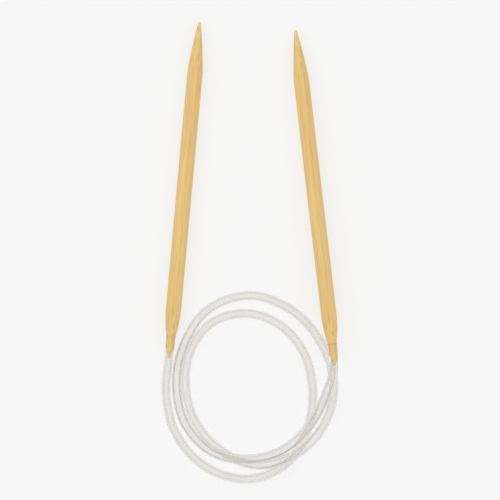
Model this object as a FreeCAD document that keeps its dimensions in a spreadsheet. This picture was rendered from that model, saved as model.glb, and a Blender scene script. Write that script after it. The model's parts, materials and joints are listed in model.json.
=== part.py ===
import FreeCAD, Part
import Sketcher
import math
import os

# A circular knitting needle, lying on a table: two bamboo needles joined by one clear
# plastic tube, which is loosely coiled in two and a half turns.
#
# Frame: millimetres, +Z up from the table, +Y from the coil towards the needle points,
# +X to the right. The origin is under the middle of the two needles, on the table.

DIMENSIONS = [
    # the two needles, alike
    ("needle_radius", 3.25),        # a 6.5 mm needle
    ("needle_length", 132.3),       # from the point to the shoulder that the tube meets
    ("tip_radius", 0.6),            # rounding of the very point
    ("point_taper", 21.0),          # length of the tapered point
    ("point_bow", 262.0),           # radius of the slight bow in the tapered point
    ("tail_taper", 12.3),           # length of the curved taper behind the shank
    ("shoulder_radius", 1.95),      # where the tail ends, flush with the tube
    ("spigot_radius", 1.2),         # the thin peg that the tube is pushed onto
    ("spigot_grip", 5.0),           # full-thickness length of the spigot
    ("spigot_length", 9.3),         # whole spigot, with its whittled end
    ("spigot_end_radius", 0.5),     # the blunt end of the spigot
    # the tube
    ("tube_radius", 2.0),
    ("bore_radius", 1.3),
    ("bend_gap", 0.3),              # room between the solids on the two sides of a bending place
    # how the needles lie: where each shoulder is, and which way the point looks
    ("left_shoulder_x", -33.67),
    ("left_shoulder_y", -59.7),
    ("left_shoulder_z", 3.25),
    ("left_heading", -5.2),         # degrees about +Z from +Y
    ("left_pitch", 0.0),            # degrees, nose up
    ("right_shoulder_x", 33.89),
    ("right_shoulder_y", -62.77),
    ("right_shoulder_z", 6.16),
    ("right_heading", 6.66),
    ("right_pitch", -1.484),        # its tail rides on a turn of the coil
    # the coil
    ("coil_x", -0.5),
    ("coil_y", -81.7),
    ("clock_start", 210.0),         # degrees about +Z from +X, where the first turn begins
    ("clock_step", 30.0),           # degrees between the points of a turn
]

# The tube's route from the left needle to the right one. Past each spigot come a few lead
# points; between them run the turns of the coil, one point for each clock step, given by
# its distance from the coil's middle and its height. The heights keep one turn clear of
# the other wherever two of them cross or lean together.
LEFT_LEAD = [(-34.67, -70.65, 3.25), (-36.3, -82.6, 2.4)]
TURNS = [
    # first turn, on the table
    (37.7, 2.0), (39.3, 2.0), (39.9, 2.0), (36.0, 2.0), (29.5, 2.0), (26.8, 2.0),
    (27.5, 2.0), (29.9, 2.0), (32.6, 2.0), (33.3, 2.0), (30.4, 2.0), (27.7, 2.0),
    # second turn, over the first one at the bottom right
    (27.8, 2.0), (29.2, 2.0), (33.3, 2.8), (34.6, 6.8), (35.6, 6.5), (36.5, 2.0),
    (36.3, 2.0), (38.2, 2.0), (40.7, 2.0), (38.9, 2.5), (33.7, 4.7), (31.6, 4.9),
    # last half turn, on top of the others
    (32.2, 5.0), (32.2, 6.4), (30.6, 7.5), (30.1, 7.3), (30.1, 6.8),
]
RIGHT_LEAD = [(31.4, -84.6, 6.55), (35.19, -73.91, 6.45)]

ARC_SHARE = 0.45        # how much of the shorter run each arc of the route takes up
BORE_PAST_END = 0.1     # how far a bore is cut past a rounded tube end
FIRST_BULGE = 0.2       # rough bow of the point's side, before its radius is applied
TOUCHING = 1e-6         # two places nearer than this are one

doc = FreeCAD.newDocument("circular_knitting_needle")
sheet = doc.addObject("Spreadsheet::Sheet", "Sizes")
for row, (alias, value) in enumerate(DIMENSIONS, start=1):
    sheet.set("A%d" % row, alias.replace("_", " "))
    sheet.set("B%d" % row, str(value))
    sheet.setAlias("B%d" % row, alias)
doc.recompute()


def size(alias):
    return float(sheet.get(alias))


def vector(x, y, z=0.0):
    return FreeCAD.Vector(x, y, z)


# ---------------------------------------------------------------- where the needles lie

def needle_placement(side):
    """The needle's own +Y runs from its shoulder to its point."""
    shoulder = vector(*[size("%s_shoulder_%s" % (side, axis)) for axis in "xyz"])
    heading = FreeCAD.Rotation(vector(0, 0, 1), size(side + "_heading"))
    pitch = FreeCAD.Rotation(vector(1, 0, 0), size(side + "_pitch"))
    return FreeCAD.Placement(shoulder, heading.multiply(pitch))


# ---------------------------------------------------------------- the needles

def origin_plane(body, role):
    return [plane for plane in body.Origin.OriginFeatures if plane.Role == role][0]


def constrain(sketch, kind, *references):
    return sketch.addConstraint(Sketcher.Constraint(kind, *references))


def drive(sketch, alias, kind, *references):
    """A dimension of the sketch that follows a cell of the sheet."""
    index = constrain(sketch, kind, *references, size(alias))
    sketch.renameConstraint(index, alias)
    sketch.setExpression("Constraints." + alias, "Sizes." + alias)


def outline_needle(sketch):
    """Half of the needle's outline: radius along X, the needle's length along Y."""
    radius, length = size("needle_radius"), size("needle_length")
    taper, tail = size("point_taper"), size("tail_taper")
    tip, shoulder = size("tip_radius"), size("shoulder_radius")
    spigot, spigot_end = size("spigot_radius"), size("spigot_end_radius")
    grip, reach = size("spigot_grip"), size("spigot_length")

    tip_centre = vector(0, length - tip)
    nose_side = vector(tip, length - tip)
    point_side = vector(radius, length - taper)
    bulge = (nose_side + point_side) * 0.5 + vector(FIRST_BULGE, 0)
    tail_side = vector(radius, tail)
    tail_radius = (tail ** 2 + (radius - shoulder) ** 2) / (2 * (radius - shoulder))
    tail_centre = vector(radius - tail_radius, tail)
    tail_angle = math.asin(tail / tail_radius)

    up = vector(0, 0, 1)
    nose = sketch.addGeometry(Part.ArcOfCircle(Part.Circle(tip_centre, up, tip), 0, math.pi / 2))
    point = sketch.addGeometry(Part.Arc(point_side, bulge, nose_side))
    shank = sketch.addGeometry(Part.LineSegment(tail_side, point_side))
    tail_arc = sketch.addGeometry(
        Part.ArcOfCircle(Part.Circle(tail_centre, up, tail_radius), -tail_angle, 0))
    corners = [
        vector(shoulder, 0), vector(spigot, 0), vector(spigot, -grip),
        vector(spigot_end, -reach), vector(0, -reach), vector(0, length),
    ]
    lines = [sketch.addGeometry(Part.LineSegment(a, b)) for a, b in zip(corners, corners[1:])]
    shoulder_face, peg, whittled, blunt_end, axis = lines

    start, end, centre = 1, 2, 3
    root, horizontal, vertical = -1, -1, -2
    constrain(sketch, "Coincident", nose, end, axis, end)
    constrain(sketch, "Coincident", shank, end, point, start)
    constrain(sketch, "Coincident", tail_arc, start, shoulder_face, start)
    for first, second in zip(lines, lines[1:]):
        constrain(sketch, "Coincident", first, end, second, start)
    constrain(sketch, "Tangent", point, end, nose, start)
    constrain(sketch, "Tangent", shank, start, tail_arc, end)
    constrain(sketch, "PointOnObject", nose, centre, vertical)
    constrain(sketch, "PointOnObject", axis, start, vertical)
    constrain(sketch, "PointOnObject", axis, end, vertical)
    constrain(sketch, "Vertical", shank)
    constrain(sketch, "Vertical", peg)
    constrain(sketch, "Horizontal", shoulder_face)
    constrain(sketch, "Horizontal", blunt_end)
    constrain(sketch, "PointOnObject", shoulder_face, start, horizontal)
    drive(sketch, "needle_length", "DistanceY", root, start, axis, end)
    drive(sketch, "tip_radius", "Radius", nose)
    drive(sketch, "point_bow", "Radius", point)
    drive(sketch, "point_taper", "DistanceY", point, start, axis, end)
    drive(sketch, "needle_radius", "DistanceX", root, start, shank, end)
    drive(sketch, "tail_taper", "DistanceY", root, start, shank, start)
    drive(sketch, "shoulder_radius", "DistanceX", root, start, shoulder_face, start)
    drive(sketch, "spigot_radius", "DistanceX", root, start, peg, start)
    drive(sketch, "spigot_grip", "DistanceY", peg, end, peg, start)
    drive(sketch, "spigot_length", "DistanceY", axis, start, root, start)
    drive(sketch, "spigot_end_radius", "DistanceX", axis, start, whittled, end)


def make_needle(side):
    body = doc.addObject("PartDesign::Body", side + "_needle_body")
    body.Label = side + "_needle"
    sketch = body.newObject("Sketcher::SketchObject", side + "_needle_outline")
    sketch.AttachmentSupport = (origin_plane(body, "XY_Plane"), [""])
    sketch.MapMode = "FlatFace"
    outline_needle(sketch)
    turned = body.newObject("PartDesign::Revolution", side + "_needle_turned")
    turned.Profile = sketch
    turned.ReferenceAxis = (sketch, ["V_Axis"])
    turned.Angle = 360.0
    body.Tip = turned
    body.Placement = needle_placement(side)
    return body


# ---------------------------------------------------------------- the glue in the tube ends

def make_glue(side):
    """A thin sleeve of glue between the spigot and the tube, as long as the spigot's grip."""
    rings = []
    for name, alias in (("outside", "bore_radius"), ("inside", "spigot_radius")):
        ring = doc.addObject("Part::Cylinder", "%s_glue_%s" % (side, name))
        ring.setExpression("Radius", "Sizes." + alias)
        ring.setExpression("Height", "Sizes.spigot_grip")
        rings.append(ring)
    film = doc.addObject("Part::Cut", side + "_glue_cut")
    film.Label = side + "_glue_film"
    film.Base, film.Tool = rings
    backwards = FreeCAD.Rotation(vector(1, 0, 0), 90)
    along_spigot = FreeCAD.Placement(vector(0, 0, 0), backwards)
    film.Placement = needle_placement(side).multiply(along_spigot)
    return film


# ---------------------------------------------------------------- the tube's route

def route_points():
    points = [needle_placement("left").Base]
    points += [vector(*point) for point in LEFT_LEAD]
    for step, (distance, height) in enumerate(TURNS):
        clock = math.radians(size("clock_start") + step * size("clock_step"))
        across = distance * math.cos(clock)
        along = distance * math.sin(clock)
        points.append(vector(size("coil_x") + across, size("coil_y") + along, height))
    points += [vector(*point) for point in RIGHT_LEAD]
    points.append(needle_placement("right").Base)
    return points


def route_edges(points):
    """Straight runs joined by tangent arcs, in order, and the radius of each arc."""
    edges = []
    radii = []
    here = points[0]
    for before, corner, after in zip(points, points[1:], points[2:]):
        arriving = corner - before
        leaving = after - corner
        share = ARC_SHARE * min(arriving.Length, leaving.Length)
        half_turn = arriving.getAngle(leaving) / 2
        radius = share / math.tan(half_turn)
        arriving.normalize()
        leaving.normalize()
        arc_start = corner - arriving * share
        arc_end = corner + leaving * share
        inwards = (leaving - arriving).normalize()
        arc_middle = corner + inwards * (radius / math.cos(half_turn) - radius)
        edges.append(Part.LineSegment(here, arc_start).toShape())
        edges.append(Part.Arc(arc_start, arc_middle, arc_end).toShape())
        radii.append(radius)
        here = arc_end
    edges.append(Part.LineSegment(here, points[-1]).toShape())
    return edges, radii


def place_of(edges, point):
    """How far along the route a point of one of its straight runs is."""
    travelled = 0.0
    for edge in edges:
        if edge.distToShape(Part.Vertex(point))[0] < TOUCHING:
            return travelled + (point - edge.valueAt(edge.FirstParameter)).Length
        travelled += edge.Length
    raise ValueError("the point is not on the route")


def stretch(edges, begin, finish):
    """The part of the route between two distances along it."""
    kept = []
    travelled = 0.0
    for edge in edges:
        low = max(begin - travelled, 0.0)
        high = min(finish - travelled, edge.Length)
        if high - low > TOUCHING:
            first = edge.getParameterByLength(low)
            last = edge.getParameterByLength(high)
            kept.append(edge.Curve.toShape(first, last))
        travelled += edge.Length
    return Part.Wire(kept)


def place_along(distance):
    """The point at a distance along the route, with +Z turned along the tube."""
    travelled = 0.0
    for edge in ROUTE:
        if distance - travelled < edge.Length:
            break
        travelled += edge.Length
    parameter = edge.getParameterByLength(min(distance - travelled, edge.Length))
    direction = edge.tangentAt(parameter)
    turned = FreeCAD.Rotation(vector(0, 0, 1), direction)
    return FreeCAD.Placement(edge.valueAt(parameter), turned)


# ---------------------------------------------------------------- the tube's solids

def make_rod(name, begin, finish, radius_alias):
    """A round solid between two distances along the route."""
    path = doc.addObject("Part::Feature", name + "_path")
    path.Shape = stretch(ROUTE, begin, finish)
    section = doc.addObject("Part::Circle", name + "_section")
    section.setExpression("Radius", "Sizes." + radius_alias)
    section.Placement = place_along(begin)
    rod = doc.addObject("Part::Sweep", name)
    rod.Sections = [section]
    rod.Spine = (path, ["Edge%d" % (index + 1) for index in range(len(path.Shape.Edges))])
    rod.Solid = True
    return rod


def make_tube(label, begin, finish):
    """A hollow length of the tube with flat ends."""
    outside = make_rod(label + "_outside", begin, finish, "tube_radius")
    bore = make_rod(label + "_bore", begin, finish, "bore_radius")
    tube = doc.addObject("Part::Cut", label + "_cut")
    tube.Label = label
    tube.Base = outside
    tube.Tool = bore
    return tube


def make_bend(label, begin, finish):
    """The short length of the tube between two bending places, with rounded ends."""
    shapes = [make_rod(label + "_outside", begin, finish, "tube_radius")]
    for index, centre in enumerate((begin, finish)):
        ball = doc.addObject("Part::Sphere", "%s_ball_%d" % (label, index + 1))
        ball.setExpression("Radius", "Sizes.tube_radius")
        ball.Placement = place_along(centre)
        shapes.append(ball)
    outside = doc.addObject("Part::MultiFuse", label + "_rounded")
    outside.Shapes = shapes
    past = size("tube_radius") + BORE_PAST_END
    bore = make_rod(label + "_bore", begin - past, finish + past, "bore_radius")
    bend = doc.addObject("Part::Cut", label + "_cut")
    bend.Label = label
    bend.Base = outside
    bend.Tool = bore
    return bend


POINTS = route_points()
ROUTE, RADII = route_edges(POINTS)
ROUTE_LENGTH = sum(edge.Length for edge in ROUTE)


def middle_of_run(index):
    """The place half-way between two points of the route, where its run is straight."""
    return place_of(ROUTE, (POINTS[index] + POINTS[index + 1]) * 0.5)


last_run = len(POINTS) - 2
left_swing = middle_of_run(1)
left_lift = middle_of_run(2)
right_lift = middle_of_run(last_run - 2)
right_swing = middle_of_run(last_run - 1)
clear = size("tube_radius") + size("bend_gap")

parts = []
for side in ("left", "right"):
    parts.append(make_needle(side))
    parts.append(make_glue(side))
parts += [
    make_tube("left_cable_end", 0.0, left_swing - clear),
    make_bend("left_cable_bend", left_swing, left_lift),
    make_tube("cable_tube", left_lift + clear, right_lift - clear),
    make_bend("right_cable_bend", right_lift, right_swing),
    make_tube("right_cable_end", right_swing + clear, ROUTE_LENGTH),
]
doc.recompute()

# ---------------------------------------------------------------- checks

for item in doc.Objects:
    if "Invalid" in item.State or "Error" in item.State:
        raise RuntimeError("%s failed: %s" % (item.Name, item.State))
for part in parts:
    if part.Shape.isNull() or not part.Shape.isValid() or len(part.Shape.Solids) != 1:
        raise RuntimeError("%s has no valid single solid" % part.Label)

print("route %.1f mm, arc radii %.1f to %.1f mm" % (ROUTE_LENGTH, min(RADII), max(RADII)))
print("radii:", " ".join("%.1f" % radius for radius in RADII))
ring_area = math.pi * (size("tube_radius") ** 2 - size("bore_radius") ** 2)
for label in ("left_cable_end", "cable_tube", "right_cable_end"):
    tube = doc.getObjectsByLabel(label)[0]
    expected = ring_area * doc.getObject(label + "_outside_path").Shape.Length
    print("%s: volume %.2f mm3, section x length %.2f mm3" % (label, tube.Shape.Volume, expected))
bending_places = (
    ("left swing", left_swing), ("left lift", left_lift),
    ("right lift", right_lift), ("right swing", right_swing),
)
for name, place in bending_places:
    point = place_along(place).Base
    print("%s at %.3f %.3f %.3f" % (name, point.x, point.y, point.z))
needles = Part.makeCompound([part.Shape for part in parts if part.TypeId == "PartDesign::Body"])
box = needles.BoundBox
print("needles x %.2f..%.2f y %.2f..%.2f z %.3f..%.3f"
      % (box.XMin, box.XMax, box.YMin, box.YMax, box.ZMin, box.ZMax))

os.makedirs("parts", exist_ok=True)
for part in parts:
    part.Shape.exportStep(os.path.join("parts", part.Label + ".step"))
    print(part.Label, "%.1f mm3" % part.Shape.Volume)
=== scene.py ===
"""The looks of a circular knitting needle: two bamboo needles on one loosely coiled clear tube."""

import json
import math

import bmesh
import bpy
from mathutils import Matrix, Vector


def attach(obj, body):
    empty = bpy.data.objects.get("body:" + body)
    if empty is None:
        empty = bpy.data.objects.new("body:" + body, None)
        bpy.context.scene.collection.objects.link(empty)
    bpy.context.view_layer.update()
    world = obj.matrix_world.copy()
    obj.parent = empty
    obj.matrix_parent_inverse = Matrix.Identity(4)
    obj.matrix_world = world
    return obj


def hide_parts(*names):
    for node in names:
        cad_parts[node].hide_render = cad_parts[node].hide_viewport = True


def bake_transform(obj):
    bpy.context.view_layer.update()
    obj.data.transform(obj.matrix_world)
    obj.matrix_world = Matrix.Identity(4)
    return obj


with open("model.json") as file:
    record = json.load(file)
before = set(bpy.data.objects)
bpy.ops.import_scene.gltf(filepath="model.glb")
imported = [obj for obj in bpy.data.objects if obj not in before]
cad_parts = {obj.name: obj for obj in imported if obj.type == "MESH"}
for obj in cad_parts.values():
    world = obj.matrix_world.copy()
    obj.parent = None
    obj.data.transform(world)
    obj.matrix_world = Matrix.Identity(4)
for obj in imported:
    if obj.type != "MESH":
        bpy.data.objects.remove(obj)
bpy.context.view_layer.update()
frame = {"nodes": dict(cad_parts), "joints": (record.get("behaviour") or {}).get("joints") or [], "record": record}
nodes = frame["nodes"]
joints = {joint["name"]: joint for joint in frame["joints"]}
mounts = {mount["name"]: mount for mount in frame["record"]["mounts"]}
scene = bpy.context.scene
collection = scene.collection

# ---------------------------------------------------------------- sizes, in metres

TUBE_RADIUS = 0.002
BORE_RADIUS = 0.0013
SPIGOT_GRIP = 0.005          # the spigot's full-thickness length, which fills the tube
END_GAP = 0.00004            # hairline between a tube end and the shoulder that it meets
EDGE_ROUNDING = 0.00018      # the tube's cut end is slightly rounded
ROUNDED_EDGE = [(0.0, 1.0), (0.3, 0.55), (1.0, 0.0)]    # its profile: share back, share inset
# How the bore opens round the spigot's whittled end: distance from the shoulder, radius.
BORE_MOUTH = [(0.0070, 0.0007), (0.0077, 0.00093), (0.0085, 0.00115), (0.0094, 0.0013)]
GLUE_RADII = (0.00122, 0.00129)     # inside and outside
BEND_REACH = 0.006           # how far to each side of its pivot the tube bends
OUTER_SIDES = 80
INNER_SIDES = 56
UV_PER_METRE = 10            # how fast the second UV runs along the tube
NEAREST_STEPS = 20           # places tried to each side of a line point
LEAST_STATION_GAP = 0.2      # rings keep this share of the usual spacing from a piece's ends
CURVE_STEPS = 16             # line points for each span of the route's spline

# The tube's route, the same points as in the CAD part.
LEFT_SHOULDER = (-0.03367, -0.0597, 0.00325)
LEFT_LEAD = [(-0.03467, -0.07065, 0.00325), (-0.0363, -0.0826, 0.0024)]
COIL_MIDDLE = (-0.0005, -0.0817)
CLOCK_START = 210.0          # degrees about +Z from +X
CLOCK_STEP = 30.0
TURNS = [
    # first turn: distance from the coil's middle, height
    (0.0377, 0.0020), (0.0393, 0.0020), (0.0399, 0.0020), (0.0360, 0.0020),
    (0.0295, 0.0020), (0.0268, 0.0020), (0.0275, 0.0020), (0.0299, 0.0020),
    (0.0326, 0.0020), (0.0333, 0.0020), (0.0304, 0.0020), (0.0277, 0.0020),
    # second turn
    (0.0278, 0.0020), (0.0292, 0.0020), (0.0333, 0.0028), (0.0346, 0.0068),
    (0.0356, 0.0065), (0.0365, 0.0020), (0.0363, 0.0020), (0.0382, 0.0020),
    (0.0407, 0.0020), (0.0389, 0.0025), (0.0337, 0.0047), (0.0316, 0.0049),
    # last half turn
    (0.0322, 0.0050), (0.0322, 0.0064), (0.0306, 0.0075), (0.0301, 0.0073),
    (0.0301, 0.0068),
]
RIGHT_LEAD = [(0.0314, -0.0846, 0.00655), (0.03519, -0.07391, 0.00645)]
RIGHT_SHOULDER = (0.03389, -0.06277, 0.00616)


# ---------------------------------------------------------------- the tube's line

def route_points():
    """The route's points, from the left needle's shoulder to the right one's."""
    points = [LEFT_SHOULDER] + LEFT_LEAD
    for step, (distance, height) in enumerate(TURNS):
        clock = math.radians(CLOCK_START + step * CLOCK_STEP)
        x = COIL_MIDDLE[0] + distance * math.cos(clock)
        y = COIL_MIDDLE[1] + distance * math.sin(clock)
        points.append((x, y, height))
    return points + RIGHT_LEAD + [RIGHT_SHOULDER]


def route_line():
    """Points along the smooth spline that the route's points control."""
    curve = bpy.data.curves.new("route", "CURVE")
    curve.dimensions = "3D"
    curve.resolution_u = CURVE_STEPS
    spline = curve.splines.new("NURBS")
    points = route_points()
    spline.points.add(len(points) - 1)
    for control, point in zip(spline.points, points):
        control.co = (*point, 1.0)
    spline.order_u = 3
    spline.use_endpoint_u = True
    carrier = bpy.data.objects.new("route", curve)
    mesh = bpy.data.meshes.new_from_object(carrier)
    line = [vertex.co.copy() for vertex in mesh.vertices]
    bpy.data.meshes.remove(mesh)
    bpy.data.objects.remove(carrier)
    bpy.data.curves.remove(curve)
    return line


class Line:
    """A line of points that knows its distances and keeps one untwisted frame along it."""

    def __init__(self, points):
        self.points = points
        self.distances = [0.0]
        for before, after in zip(points, points[1:]):
            self.distances.append(self.distances[-1] + (after - before).length)
        self.length = self.distances[-1]
        self.tangents = []
        last = len(points) - 1
        for index in range(len(points)):
            before, after = points[max(index - 1, 0)], points[min(index + 1, last)]
            self.tangents.append((after - before).normalized())
        self.sides = [self.tangents[0].cross(Vector((0, 0, 1))).normalized()]
        for before, after in zip(self.tangents, self.tangents[1:]):
            side = before.rotation_difference(after) @ self.sides[-1]
            self.sides.append((side - after * side.dot(after)).normalized())

    def place(self, distance):
        """(point, tangent, side) at a distance along the line."""
        distance = min(max(distance, 0.0), self.length)
        index = 1
        while index < len(self.points) - 1 and self.distances[index] < distance:
            index += 1
        low, high = self.distances[index - 1], self.distances[index]
        share = (distance - low) / (high - low)
        point = self.points[index - 1].lerp(self.points[index], share)
        tangent = self.tangents[index - 1].lerp(self.tangents[index], share).normalized()
        side = self.sides[index - 1].lerp(self.sides[index], share)
        side = (side - tangent * side.dot(tangent)).normalized()
        return point, tangent, side

    def nearest(self, point):
        """The distance along the line of its point nearest to a place."""
        target = Vector(point)
        best = min(range(len(self.points)), key=lambda i: (self.points[i] - target).length)
        here = self.distances[best]
        span = self.length / len(self.points)
        tries = [here + span * k / NEAREST_STEPS for k in range(-NEAREST_STEPS, NEAREST_STEPS + 1)]
        return min(tries, key=lambda d: (self.place(d)[0] - target).length)

    def between(self, begin, finish):
        """Distances of the line's own points between two places, with both ends."""
        margin = LEAST_STATION_GAP * self.length / len(self.points)
        inside = [d for d in self.distances if begin + margin < d < finish - margin]
        return [begin] + inside + [finish]


# ---------------------------------------------------------------- meshes

def new_piece(name, bm, material):
    """A smooth-shaded object in the scene, made from a bmesh."""
    mesh = bpy.data.meshes.new(name)
    bm.normal_update()
    bm.to_mesh(mesh)
    bm.free()
    mesh.materials.append(material)
    mesh.shade_smooth()
    piece = bpy.data.objects.new(name, mesh)
    collection.objects.link(piece)
    return piece


def add_rings(bm, uv, line, stations, sides, inwards=False):
    """A skin of rings. stations are (distance along the line, radius); returns the rings."""
    rings = []
    for distance, radius in stations:
        point, tangent, side = line.place(distance)
        other = tangent.cross(side)
        ring = []
        for k in range(sides):
            turn = 2 * math.pi * k / sides
            outwards = side * math.cos(turn) + other * math.sin(turn)
            ring.append(bm.verts.new(point + outwards * radius))
        rings.append(ring)
    for row in range(len(rings) - 1):
        low, high = stations[row][0], stations[row + 1][0]
        for k in range(sides):
            following = (k + 1) % sides
            corners = [
                (rings[row][k], k / sides, low),
                (rings[row][following], (k + 1) / sides, low),
                (rings[row + 1][following], (k + 1) / sides, high),
                (rings[row + 1][k], k / sides, high),
            ]
            if inwards:
                corners.reverse()
            face = bm.faces.new([corner[0] for corner in corners])
            for loop, (_, around, along) in zip(face.loops, corners):
                loop[uv].uv = (around, along * UV_PER_METRE)
    return rings


def close_ring(bm, uv, line, ring, distance, towards):
    """A flat fan over a ring, facing along or against the line."""
    point, tangent, _ = line.place(distance)
    middle = bm.verts.new(point)
    for k in range(len(ring)):
        a, b = ring[k], ring[(k + 1) % len(ring)]
        face = bm.faces.new((a, b, middle) if towards > 0 else (b, a, middle))
        for loop in face.loops:
            loop[uv].uv = (k / len(ring), distance * UV_PER_METRE)


def tube_piece(name, line, begin, finish, material, bore_begin=None, bore_finish=None,
               cut_begin=False, cut_finish=False):
    """A length of clear tube: its outer skin and, between bore_begin and bore_finish, its bore.

    A cut end is the tube's real end and is closed, and the bore beside it ends at the spigot,
    which fills it; elsewhere the skins end open, where the next length goes on with the same
    rings.
    """
    bm = bmesh.new()
    uv = bm.loops.layers.uv.new("UVMap")
    stations = [(distance, TUBE_RADIUS) for distance in line.between(begin, finish)]
    if cut_begin:
        stations = [(begin + EDGE_ROUNDING * back, TUBE_RADIUS - EDGE_ROUNDING * inset)
                    for back, inset in ROUNDED_EDGE] + stations[1:]
    if cut_finish:
        stations = stations[:-1] + [
            (finish - EDGE_ROUNDING * back, TUBE_RADIUS - EDGE_ROUNDING * inset)
            for back, inset in reversed(ROUNDED_EDGE)]
    rings = add_rings(bm, uv, line, stations, OUTER_SIDES)
    if cut_begin:
        close_ring(bm, uv, line, rings[0], begin, -1)
    if cut_finish:
        close_ring(bm, uv, line, rings[-1], finish, 1)
    if bore_begin is not None:
        bore = [(distance, BORE_RADIUS) for distance in line.between(bore_begin, bore_finish)]
        if cut_begin:
            bore = BORE_MOUTH + bore[1:]
        if cut_finish:
            bore = bore[:-1] + [
                (line.length - depth, radius) for depth, radius in reversed(BORE_MOUTH)]
        rings = add_rings(bm, uv, line, bore, INNER_SIDES, inwards=True)
        if cut_begin:
            close_ring(bm, uv, line, rings[0], bore[0][0], 1)
        if cut_finish:
            close_ring(bm, uv, line, rings[-1], bore[-1][0], -1)
    return new_piece(name, bm, material)


# ---------------------------------------------------------------- materials

class Nodes:
    """A material's node tree, with short calls to add and join nodes."""

    def __init__(self, name):
        self.material = bpy.data.materials.new(name)
        self.material.use_nodes = True
        self.tree = self.material.node_tree
        self.shader = self.tree.nodes["Principled BSDF"]

    def add(self, kind, **inputs):
        node = self.tree.nodes.new(kind)
        for socket, value in inputs.items():
            self.set(node, socket.replace("_", " "), value)
        return node

    def set(self, node, socket, value):
        if isinstance(value, bpy.types.NodeSocket):
            self.tree.links.new(value, node.inputs[socket])
        else:
            node.inputs[socket].default_value = value

    def shade(self, **inputs):
        for socket, value in inputs.items():
            self.set(self.shader, socket.replace("_", " "), value)

    def ramp(self, factor, stops):
        node = self.tree.nodes.new("ShaderNodeValToRGB")
        elements = node.color_ramp.elements
        while len(elements) < len(stops):
            elements.new(0.5)
        for element, (position, colour) in zip(elements, stops):
            element.position = position
            element.color = (*colour, 1.0)
        self.tree.links.new(factor, node.inputs["Fac"])
        return node.outputs["Color"]

    def range(self, value, low, high, to_low, to_high):
        node = self.add("ShaderNodeMapRange", Value=value)
        self.set(node, "From Min", low)
        self.set(node, "From Max", high)
        self.set(node, "To Min", to_low)
        self.set(node, "To Max", to_high)
        return node.outputs["Result"]

    def mix(self, factor, first, second, blend="MIX"):
        node = self.tree.nodes.new("ShaderNodeMix")
        node.data_type = "RGBA"
        node.blend_type = blend
        self.set_index(node, 0, factor)
        self.set_index(node, 6, first)
        self.set_index(node, 7, second)
        return node.outputs[2]

    def math(self, operation, *values):
        node = self.tree.nodes.new("ShaderNodeMath")
        node.operation = operation
        for index, value in enumerate(values):
            self.set_index(node, index, value)
        return node.outputs[0]

    def set_index(self, node, index, value):
        if isinstance(value, bpy.types.NodeSocket):
            self.tree.links.new(value, node.inputs[index])
        else:
            node.inputs[index].default_value = value

    def noise(self, vector, scale, detail=2.0, roughness=0.5, distortion=0.0):
        node = self.add("ShaderNodeTexNoise", Vector=vector, Scale=scale, Detail=detail,
                        Roughness=roughness, Distortion=distortion)
        return node.outputs["Fac"]

    def bump(self, height, strength, distance):
        node = self.add("ShaderNodeBump", Height=height, Strength=strength, Distance=distance)
        return node.outputs["Normal"]

    def let_lamps_through(self):
        """Let light from lamps and pale surfaces pass straight, as real clear plastic does."""
        rays = self.add("ShaderNodeLightPath")
        straight = self.add("ShaderNodeBsdfTransparent").outputs["BSDF"]
        surface = self.shader.outputs["BSDF"]
        for kind in ("Is Shadow Ray", "Is Diffuse Ray"):
            node = self.add("ShaderNodeMixShader", Fac=rays.outputs[kind])
            self.set_index(node, 1, surface)
            self.set_index(node, 2, straight)
            surface = node.outputs["Shader"]
        self.set(self.tree.nodes["Material Output"], "Surface", surface)


def linear(red, green, blue):
    """A screen colour, 0 to 255, as the linear colour that the shaders take."""
    def one(value):
        value /= 255
        return value / 12.92 if value <= 0.04045 else ((value + 0.055) / 1.055) ** 2.4
    return one(red), one(green), one(blue)


# The bamboo's grain: size across the fibres, size along them.
BROAD_GRAIN = (0.0022, 0.09)
STREAKS = (0.0007, 0.045)
FINE_FIBRES = (0.00022, 0.012)
FIBRE_BUNDLES = (0.0009, 0.016)
# Dark fibre bundles are faint on the shank and strong on the tapers, which cut across them.
BUNDLE_REACH = (0.047, 0.052)       # distance from the shank's middle
BUNDLE_STRENGTH = (0.24, 0.60)


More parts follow.
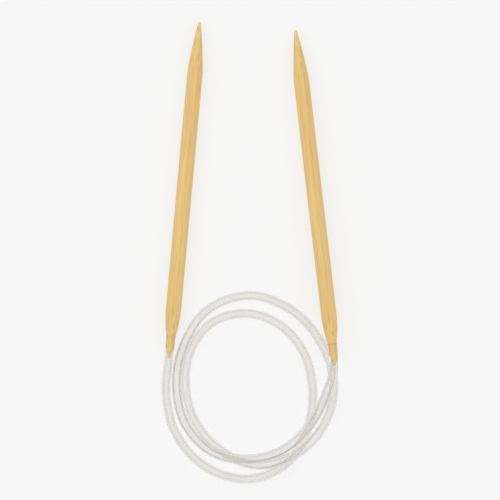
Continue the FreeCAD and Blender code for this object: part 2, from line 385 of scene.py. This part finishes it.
def bamboo(side):
    """Bamboo cut along its fibres: streaks on the shank, flecks where a taper cuts them."""
    make = Nodes("bamboo_" + side)
    mount = mounts[side + "_shank"]
    axis = Vector(mount["axis"])
    turn = Vector((0, 1, 0)).rotation_difference(axis).to_euler()
    coordinates = make.add("ShaderNodeTexCoord").outputs["Object"]

    def fibre_space(across, along):
        """Coordinates along the needle's own axes, with one unit as large as given."""
        node = make.add("ShaderNodeMapping", Vector=coordinates)
        node.vector_type = "TEXTURE"
        node.inputs["Location"].default_value = mount["pos_m"]
        node.inputs["Rotation"].default_value = turn
        node.inputs["Scale"].default_value = (across, along, across)
        return node.outputs["Vector"]

    broad = make.noise(fibre_space(*BROAD_GRAIN), 1.0, 2.0)
    streaks = make.noise(fibre_space(*STREAKS), 1.0, 4.0, 0.6)
    fine = make.noise(fibre_space(*FINE_FIBRES), 1.0, 3.0, 0.6)
    cells = make.add("ShaderNodeTexVoronoi", Vector=fibre_space(*FIBRE_BUNDLES), Scale=1.0)
    bundle = make.range(cells.outputs["Distance"], 0.10, 0.34, 1.0, 0.0)

    tone = make.ramp(streaks, [
        (0.30, linear(208, 162, 84)), (0.45, linear(229, 191, 113)),
        (0.58, linear(240, 208, 138)), (0.72, linear(248, 222, 158)),
    ])
    warm = make.ramp(broad, [(0.35, linear(236, 195, 118)), (0.65, linear(242, 214, 146))])
    colour = make.mix(0.45, tone, warm)
    colour = make.mix(make.range(fine, 0.35, 0.7, 0.0, 0.35), colour, (*linear(220, 174, 98), 1))
    along = make.add("ShaderNodeSeparateXYZ", Vector=fibre_space(1.0, 1.0)).outputs["Y"]
    from_middle = make.math("ABSOLUTE", along)
    bundle_strength = make.range(from_middle, *BUNDLE_REACH, *BUNDLE_STRENGTH)
    bundle_share = make.math("MULTIPLY", bundle, bundle_strength)
    colour = make.mix(bundle_share, colour, (*linear(180, 130, 62), 1))
    height = make.math("SUBTRACT", fine, bundle_share)
    make.shade(
        Base_Color=colour,
        Roughness=make.range(streaks, 0.3, 0.7, 0.50, 0.38),
        Normal=make.bump(height, 0.6, 0.00004),
        Coat_Weight=0.12, Coat_Roughness=0.25,
    )
    make.shader.inputs["Specular IOR Level"].default_value = 0.45
    return make.material


def clear_plastic():
    """Clear, slightly milky extruded tube with faint lines along it, and painted shade: a greyer tint along its
    flanks for the darker edges that light gives it.
    """
    make = Nodes("clear_tube")
    uv = make.add("ShaderNodeUVMap").outputs["UV"]
    space = make.add("ShaderNodeMapping", Vector=uv)
    space.inputs["Scale"].default_value = (14.0, 0.12, 1.0)
    lines = make.noise(space.outputs["Vector"], 1.0, 3.0, 0.6)
    around = make.add("ShaderNodeSeparateXYZ", Vector=uv).outputs["X"]
    angle = make.math("MULTIPLY", around, 2 * math.pi)
    # Painted shade: the flanks, the sides that face sideways, get a greyer tint that stands in for the tube's
    # darker edges under the light.
    painted_shade_mask = make.math("ABSOLUTE", make.math("COSINE", angle))
    coordinates = make.add("ShaderNodeTexCoord").outputs["Object"]
    haze = make.noise(coordinates, 60.0, 3.0, 0.6)
    clear = make.mix(make.range(haze, 0.35, 0.65, 0.0, 1.0),
                     (*linear(247, 246, 244), 1), (*linear(243, 242, 239), 1))
    painted_flank_shade = make.mix(make.range(lines, 0.3, 0.7, 0.0, 1.0),
                     (*linear(238, 236, 233), 1), (*linear(230, 228, 224), 1))
    make.shade(
        Base_Color=make.mix(make.range(painted_shade_mask, 0.55, 0.85, 0.0, 1.0), clear, painted_flank_shade),
        Roughness=make.range(haze, 0.3, 0.7, 0.0, 0.01),
        Normal=make.bump(lines, 0.05, 0.00002),
        IOR=1.45,
    )
    make.shader.inputs["Transmission Weight"].default_value = 1.0
    make.let_lamps_through()
    return make.material


def clear_glue():
    """A thin, slightly yellow film of set glue with tiny ripples."""
    make = Nodes("glue")
    coordinates = make.add("ShaderNodeTexCoord").outputs["Object"]
    ripples = make.noise(coordinates, 2500.0, 2.0)
    colour = make.mix(ripples, (*linear(253, 250, 243), 1), (*linear(251, 246, 234), 1))
    make.shade(
        Base_Color=colour,
        Roughness=0.0,
        IOR=1.0,
    )
    make.shader.inputs["Transmission Weight"].default_value = 1.0
    make.let_lamps_through()
    return make.material


TABLE_GREYS = (0.295, 0.305)
TABLE_GLOW = 0.64


def table_top():
    """Pale table that glows a little, like a light table, so shadows stay faint."""
    make = Nodes("table_top")
    coordinates = make.add("ShaderNodeTexCoord").outputs["Object"]
    grain = make.noise(coordinates, 900.0, 2.0)
    darker, paler = [(grey, grey, grey, 1) for grey in TABLE_GREYS]
    make.shade(
        Base_Color=make.mix(grain, darker, paler),
        Roughness=make.range(grain, 0.3, 0.7, 0.7, 0.8),
        Emission_Color=(1.0, 1.0, 1.0, 1.0),
        Emission_Strength=TABLE_GLOW,
    )
    make.shader.inputs["Specular IOR Level"].default_value = 0.0
    return make.material


# ---------------------------------------------------------------- the tube

plastic = clear_plastic()
line = Line(route_line())
pivots = {name: line.nearest(joint["pos_m"]) for name, joint in joints.items()}
left_link = (pivots["left_swing"] + pivots["left_lift"]) / 2
right_link = (pivots["right_lift"] + pivots["right_swing"]) / 2
coil_begin = pivots["left_lift"] + BEND_REACH
coil_finish = pivots["right_lift"] - BEND_REACH
left_end, right_end = END_GAP, line.length - END_GAP

coil = tube_piece("coil", line, coil_begin, coil_finish, plastic, coil_begin, coil_finish)
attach(coil, "cable")
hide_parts("cable_tube")


def bending_piece(name, begin, finish, pivot, bodies, node, **ends):
    """A length of tube along the line, its placement baked into the mesh, in place of a CAD part, which is hidden.
    """
    piece = tube_piece(name, line, begin, finish, plastic, **ends)
    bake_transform(piece)
    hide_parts(node)
    return piece


end_pieces = [
    bending_piece(
        "left_tube_end", left_end, left_link, "left_swing",
        ("left_needle_body", "left_bend"), "left_cable_end",
        cut_begin=True, bore_begin=BORE_MOUTH[-1][0], bore_finish=left_link),
    bending_piece(
        "left_tube_bend", left_link, coil_begin, "left_lift",
        ("left_bend", "cable"), "left_cable_bend",
        bore_begin=left_link, bore_finish=coil_begin),
    bending_piece(
        "right_tube_bend", coil_finish, right_link, "right_lift",
        ("cable", "right_bend"), "right_cable_bend",
        bore_begin=coil_finish, bore_finish=right_link),
    bending_piece(
        "right_tube_end", right_link, right_end, "right_swing",
        ("right_bend", "right_needle_body"), "right_cable_end",
        cut_finish=True, bore_begin=right_link,
        bore_finish=line.length - BORE_MOUTH[-1][0]),
]

# ---------------------------------------------------------------- the needles and the glue

def glue_sleeve(side, begin, finish, material):
    """The sleeve of glue round a spigot, a hair thinner than the room that it has there."""
    bm = bmesh.new()
    uv = bm.loops.layers.uv.new("UVMap")
    inner, outer = GLUE_RADII
    section = [(begin, inner), (begin, outer), (finish, outer), (finish, inner), (begin, inner)]
    add_rings(bm, uv, line, section, INNER_SIDES)
    bmesh.ops.remove_doubles(bm, verts=bm.verts[:], dist=1e-7)
    sleeve = new_piece(side + "_glue", bm, material)
    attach(sleeve, side + "_needle_body")
    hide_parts(side + "_glue_film")


glue = clear_glue()
glue_sleeve("left", left_end, SPIGOT_GRIP, glue)
glue_sleeve("right", line.length - SPIGOT_GRIP, right_end, glue)

for side in ("left", "right"):
    mesh = nodes[side + "_needle"].data
    mesh.materials.clear()
    mesh.materials.append(bamboo(side))

# ---------------------------------------------------------------- floor, light and camera

FLOOR_HALF = 1.5
HORIZON = (0.05, 0.30)       # height of a direction, 0 to 1, and how bright the studio is there
OVERHEAD = (0.55, 1.0)
FIELD = 0.210                # width of the table that the camera sees
CAMERA_HEIGHT = 3.0
CAMERA_AIM = (-0.00055, -0.0237)

floor_mesh = bpy.data.meshes.new("floor")
corners = [(x * FLOOR_HALF, y * FLOOR_HALF, 0) for x, y in ((-1, -1), (1, -1), (1, 1), (-1, 1))]
floor_mesh.from_pydata(corners, [], [(0, 1, 2, 3)])
floor_mesh.materials.append(table_top())
floor = bpy.data.objects.new("floor", floor_mesh)
collection.objects.link(floor)


def studio_world():
    """A white studio that is dimmer near the horizon than overhead."""
    world = bpy.data.worlds.new("studio")
    world.use_nodes = True
    tree = world.node_tree
    background = tree.nodes["Background"]
    direction = tree.nodes.new("ShaderNodeTexCoord").outputs["Generated"]
    height = tree.nodes.new("ShaderNodeSeparateXYZ")
    dome = tree.nodes.new("ShaderNodeValToRGB")
    dome.color_ramp.interpolation = "EASE"
    for element, (position, brightness) in zip(dome.color_ramp.elements, (HORIZON, OVERHEAD)):
        element.position = position
        element.color = (brightness, brightness, brightness, 1.0)
    background.inputs["Strength"].default_value = 1.0
    tree.links.new(direction, height.inputs[0])
    tree.links.new(height.outputs["Z"], dome.inputs["Fac"])
    tree.links.new(dome.outputs["Color"], background.inputs["Color"])
    return world


def soft_box(name, place, aim, width, height, power):
    """A rectangular lamp that faces a place."""
    light = bpy.data.lights.new(name, "AREA")
    light.shape = "RECTANGLE"
    light.size = width
    light.size_y = height
    light.energy = power
    lamp = bpy.data.objects.new(name, light)
    lamp.location = place
    lamp.rotation_mode = "QUATERNION"
    lamp.rotation_quaternion = (Vector(aim) - Vector(place)).to_track_quat("-Z", "Y")
    collection.objects.link(lamp)


scene.world = studio_world()
soft_box("key_light", (-1.1, 0.5, 1.3), (0, 0, 0), 1.2, 1.2, 2.0)

camera_data = bpy.data.cameras.new("camera")
camera_data.sensor_width = 36.0
camera_data.lens = camera_data.sensor_width * CAMERA_HEIGHT / FIELD
camera_data.clip_start = 0.01
camera_data.clip_end = 20.0
camera = bpy.data.objects.new("camera", camera_data)
camera.location = (*CAMERA_AIM, CAMERA_HEIGHT)
collection.objects.link(camera)
scene.camera = camera

scene.view_settings.view_transform = "Standard"
